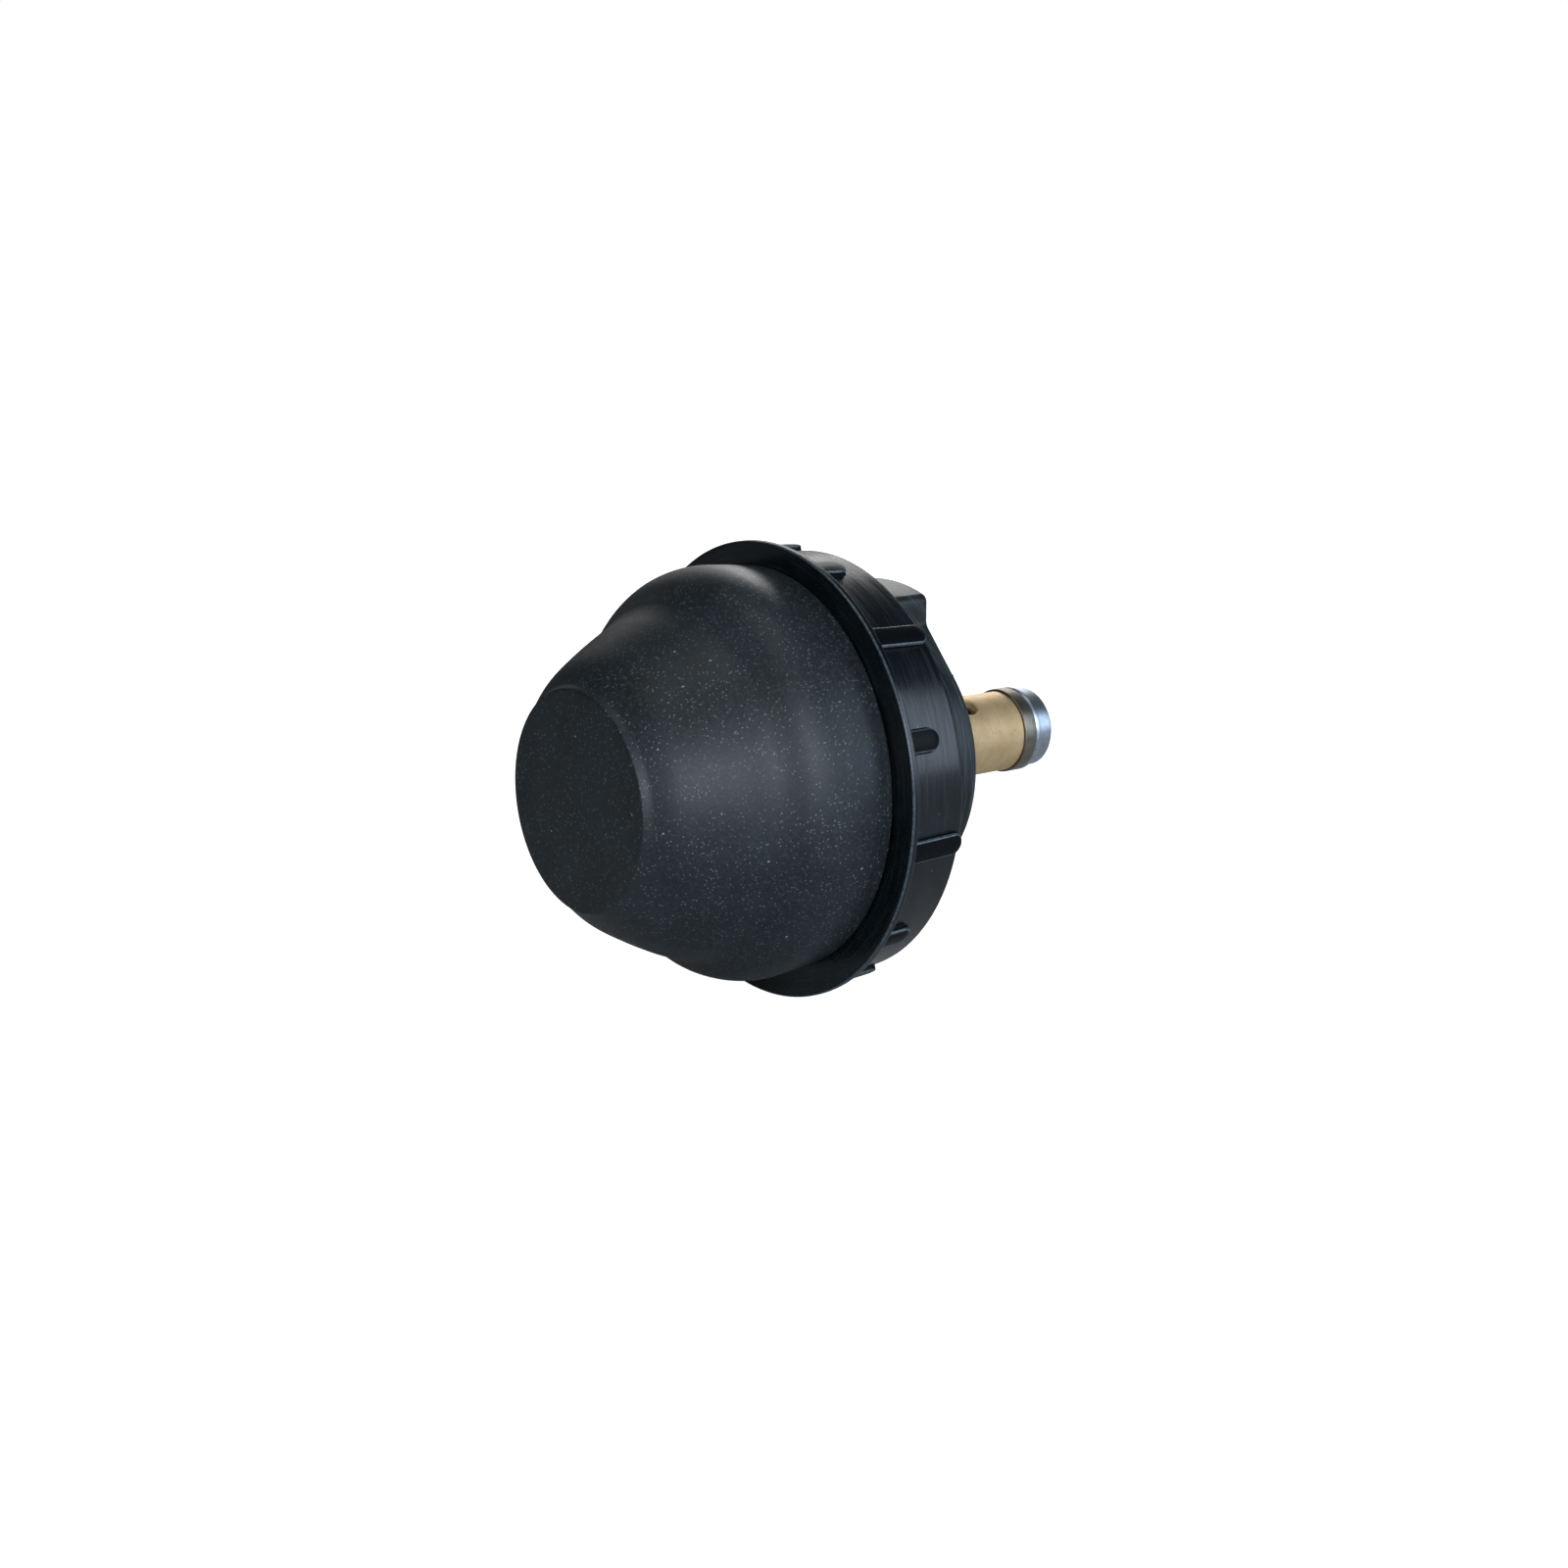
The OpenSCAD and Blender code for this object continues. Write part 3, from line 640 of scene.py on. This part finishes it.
def drilled(radius, hole, reach, low, high, columns):
    """Half of a cylinder's wall with a round hole near its end, as a grid of [angle, station].

    Inside a square of half width reach, a point moves from the square that it is on towards the
    circle of the same size, and fully so at the hole's edge.
    """
    near = np.linspace(hole, reach, 7)
    middle = np.linspace(-hole, hole, 13)[1:-1]
    out_u = np.linspace(reach, np.pi / 2 * radius, 12)[1:]
    u = np.concatenate([-out_u[::-1], -near[::-1], middle, near, out_u])
    v = np.concatenate([np.linspace(low, -reach, columns)[:-1], -near[::-1], middle, near,
                        np.linspace(reach, high, 6)[1:]])
    grid = np.stack(np.meshgrid(u, v, indexing="ij"), -1)
    size = np.abs(grid).max(-1, keepdims=True)
    length = np.maximum(np.linalg.norm(grid, axis=-1, keepdims=True), 1e-9)
    amount = np.clip((reach - size) / (reach - hole), 0, 1)
    grid = grid * (1 - amount) + grid / length * size * amount
    return np.stack([grid[..., 0] / radius, grid[..., 1] + pin_y], -1), size[..., 0] <= hole + 1e-6


def edge_of(inside):
    """Rows and columns of the points round the edge of the block that a mask marks, in order."""
    rows, columns = np.flatnonzero(inside.any(1)), np.flatnonzero(inside.any(0))
    r, c = np.full(len(columns), rows[0]), np.full(len(rows), columns[0])
    i = np.concatenate([rows, r + len(rows) - 1, rows[::-1], r])
    j = np.concatenate([c, columns, c + len(columns) - 1, columns[::-1]])
    return i, j


def sleeve_half(middle):
    """Half of the sleeve round one mouth of its cross hole: its walls, its two ends and the hole's wall."""
    chamfer, bore = 0.14, stem_r + 0.02
    low, high = sleeve_low[1], sleeve_high[1]
    outer, cut = drilled(sleeve_r, pin_r + chamfer, 2.1, low + 0.3 - pin_y, high - 0.15 - pin_y, 28)
    inner, inner_cut = drilled(bore, pin_r, 1.7, low + 0.2 - pin_y, high - pin_y, 10)
    t = np.linspace(0, np.pi / 2, 5)
    front = np.stack([sleeve_r - 0.25 + 0.25 * np.sin(t), low + 0.25 - 0.25 * np.cos(t)], -1)
    rear = np.stack([sleeve_r - 0.12 + 0.12 * np.cos(t), high - 0.12 + 0.12 * np.sin(t)], -1)

    def ring(r, y, angle):
        return turned(r, y, middle + angle)

    columns = [ring(bore, inner[:, ::-1, 1], inner[:, ::-1, 0])]
    columns += [ring(bore + 0.2, low, inner[:, :1, 0])]
    columns += [ring(r, y, outer[:, :1, 0]) for r, y in front]
    columns += [ring(sleeve_r, outer[..., 1], outer[..., 0])]
    columns += [ring(r, y, outer[:, -1:, 0]) for r, y in rear]
    points = np.concatenate(columns, 1)
    gone = np.concatenate([inner_cut[:, ::-1], np.zeros((len(cut), 1 + len(front)), bool), cut,
                           np.zeros((len(cut), len(rear)), bool)], 1)
    quads = quads_of(*gone.shape, False, True)
    quads = quads[~gone.reshape(-1)[quads].all(1)]

    mouth = outer[edge_of(cut)]
    throat = inner[edge_of(inner_cut)]
    side, along = sleeve_r * np.sin(mouth[:, 0]), mouth[:, 1] - pin_y
    shrink = pin_r / (pin_r + chamfer)
    height = sleeve_r * np.cos(mouth[:, 0]) - chamfer
    lip = turned(np.hypot(side * shrink, height), pin_y + along * shrink,
                 middle + np.arctan2(side * shrink, height))
    wall = np.stack([ring(sleeve_r, mouth[:, 1], mouth[:, 0]), lip, ring(bore, throat[:, 1], throat[:, 0])])
    return [(points.reshape(-1, 3), quads),
            (wall.reshape(-1, 3), quads_of(3, len(mouth), False, True))]


def together(surfaces):
    """Several open surfaces as one, so that their shared edges close."""
    starts = np.cumsum([0] + [len(points) for points, _ in surfaces[:-1]])
    return (np.concatenate([points for points, _ in surfaces]),
            np.concatenate([quads + start for (_, quads), start in zip(surfaces, starts)]))


drill = np.radians(pin_angle)
sleeve = together(sleeve_half(drill) + sleeve_half(drill + np.pi))
piece("brass_sleeve", "plunger", "sleeve_brass", brass, sleeve, stands_for=["plunger_sleeve"])


def simple_ring(name, body, slot, material, corners, step=0.4, turns=192, node=None):
    """A turned part from [radius, station, fillet] corners."""
    return piece(name, body, slot, material, revolved(finer(filleted(corners), step), turns),
                 stands_for=[node] if node else [])


def band_corners(r_in, r_out, low, high, inner=0.05, outer=0.12):
    return [[r_in, low, inner], [r_out, low, outer], [r_out, high, outer], [r_in, high, inner]]


simple_ring("locking_collar", "plunger", "dark_steel", browned,
            band_corners(shank_r + 0.03, collar_high[0], collar_low[1], collar_high[1]), node="lock_collar")
tip_front, tip_end = collar_high[1], tip_high[1]
tip_flange_r, tip_flange_back = tip_high[0], tip_front + tip_flange_t
simple_ring("striker_tip", "plunger", "zinc_steel", zinc,
            [[0, tip_low[1], 0], [shank_r, tip_low[1], 0.3], [shank_r, tip_front, 0.05],
             [tip_flange_r - 0.22, tip_front, 0.05], [tip_flange_r, tip_front + 0.22, 0.08],
             [tip_flange_r, tip_flange_back, 0.08], [tip_r, tip_flange_back, 0.08],
             [tip_r, tip_end - tip_chamfer, 0.15], [tip_r - tip_chamfer, tip_end, 0.12], [0, tip_end, 0]],
            step=0.25, node="plunger_tip")


# ---------------------------------------------------------------- return spring

def coil():
    """Compression spring: its ends lie flat for nearly a turn, and the rest climbs evenly between them."""
    mean = spring_high[0] - wire_r
    low, high = spring_low[1] + wire_r, spring_high[1] - wire_r
    turns = spring_turns * np.linspace(0, 1, spring_turns * 72 + 1)
    share = np.clip((turns - closed_turns) / (spring_turns - 2 * closed_turns), 0, 1)
    angle = FULL_TURN * turns
    centres = turned(mean, low + (high - low) * share, angle)
    outwards = turned(1.0, 0 * angle, angle)
    run = np.gradient(centres, axis=0)
    run /= np.linalg.norm(run, axis=1)[:, None]
    return swept(centres, 16, outwards * wire_r, np.cross(run, outwards) * wire_r)


spring = piece("coil_spring", None, "spring_steel", spring_wire, coil(),
               stands_for=["return_spring"], sharp=60)
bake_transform(spring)


# ---------------------------------------------------------------- CAD nodes that keep their own shape

node_materials = {
    "slip_washer": acetal, "boot_retainer": sheet, "flange_gasket": nitrile, "guide_bush": bronze,
    "bush_clip": spring_wire, "stop_washer": zinc, "spring_seat": sheet, "button_cap": nylon,
    "cap_washer": spring_wire, "cap_screw": zinc, "stem": zinc, "cross_pin": browned,
}
for node, material in node_materials.items():
    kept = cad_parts[node]
    if not kept.material_slots:
        kept.data.materials.append(material)
    for place in kept.material_slots:
        place.link = "OBJECT"
        place.material = material


# ---------------------------------------------------------------- light, background and floor

def softbox(name, azimuth, elevation, distance, size, power, colour="#ffffff"):
    """Area light seen from the object in the direction of a view, facing the object."""
    across, high, away = axes_of_view(azimuth, elevation)
    data = bpy.data.lights.new(name, "AREA")
    data.shape = "RECTANGLE"
    data.size, data.size_y = size[0] * MM, size[1] * MM
    data.energy = power
    data.color = linear(colour)[:3]
    lamp = bpy.data.objects.new(name, data)
    bpy.context.scene.collection.objects.link(lamp)
    place = np.eye(4)
    place[:3, 0], place[:3, 1], place[:3, 2], place[:3, 3] = across, high, away, away * distance * MM
    lamp.matrix_world = place.T.tolist()
    lamp.visible_camera = False
    return lamp


softbox("key", 60, 17, 300, (200, 110), 0.66, "#eef7ff")
softbox("right", 94, 8, 330, (100, 170), 0.19, "#d3e6fb")
softbox("backdrop", 226, 27, 330, (380, 120), 0.14)
softbox("rim", 226, 27, 330, (70, 60), 0.3)
softbox("side", 130, 16, 300, (120, 170), 0.27, "#cfe2f6")
softbox("top", 30, 80, 300, (160, 160), 0.13)

world = bpy.data.worlds.new("studio")
bpy.context.scene.world = world
world.use_nodes = True
tree = world.node_tree
tree.nodes.clear()
seen = add(tree, "ShaderNodeLightPath").outputs["Is Camera Ray"]
level = add(tree, "ShaderNodeMix", {0: seen, 6: linear("#45494c"), 7: linear("#ffffff")}, data_type="RGBA")
glow = add(tree, "ShaderNodeBackground", {"Color": level.outputs[2], "Strength": 1.0})
add(tree, "ShaderNodeOutputWorld", {"Surface": glow.outputs[0]})

floor_mesh = bpy.data.meshes.new("floor")
reach = 1.5
floor_z = ring_low[2] * MM
floor_mesh.from_pydata([(-reach, -reach, floor_z), (reach, -reach, floor_z),
                        (reach, reach, floor_z), (-reach, reach, floor_z)], [], [(0, 1, 2, 3)])
floor = bpy.data.objects.new("floor", floor_mesh)
bpy.context.scene.collection.objects.link(floor)
paper = bpy.data.materials.new("pale_floor")
paper.use_nodes = True
tree = paper.node_tree
tree.nodes.clear()
matt = add(tree, "ShaderNodeBsdfDiffuse", {"Color": linear("#c0c1c2")})
seen = add(tree, "ShaderNodeLightPath").outputs["Is Camera Ray"]
bright = add(tree, "ShaderNodeEmission", {"Color": linear("#ffffff"), "Strength": times(tree, seen, 0.97)})
sheet_mix = add(tree, "ShaderNodeAddShader", {0: matt.outputs[0], 1: bright.outputs[0]})
add(tree, "ShaderNodeOutputMaterial", {"Surface": sheet_mix.outputs[0]})
floor_mesh.materials.append(paper)
bpy.context.scene.view_settings.view_transform = "Standard"
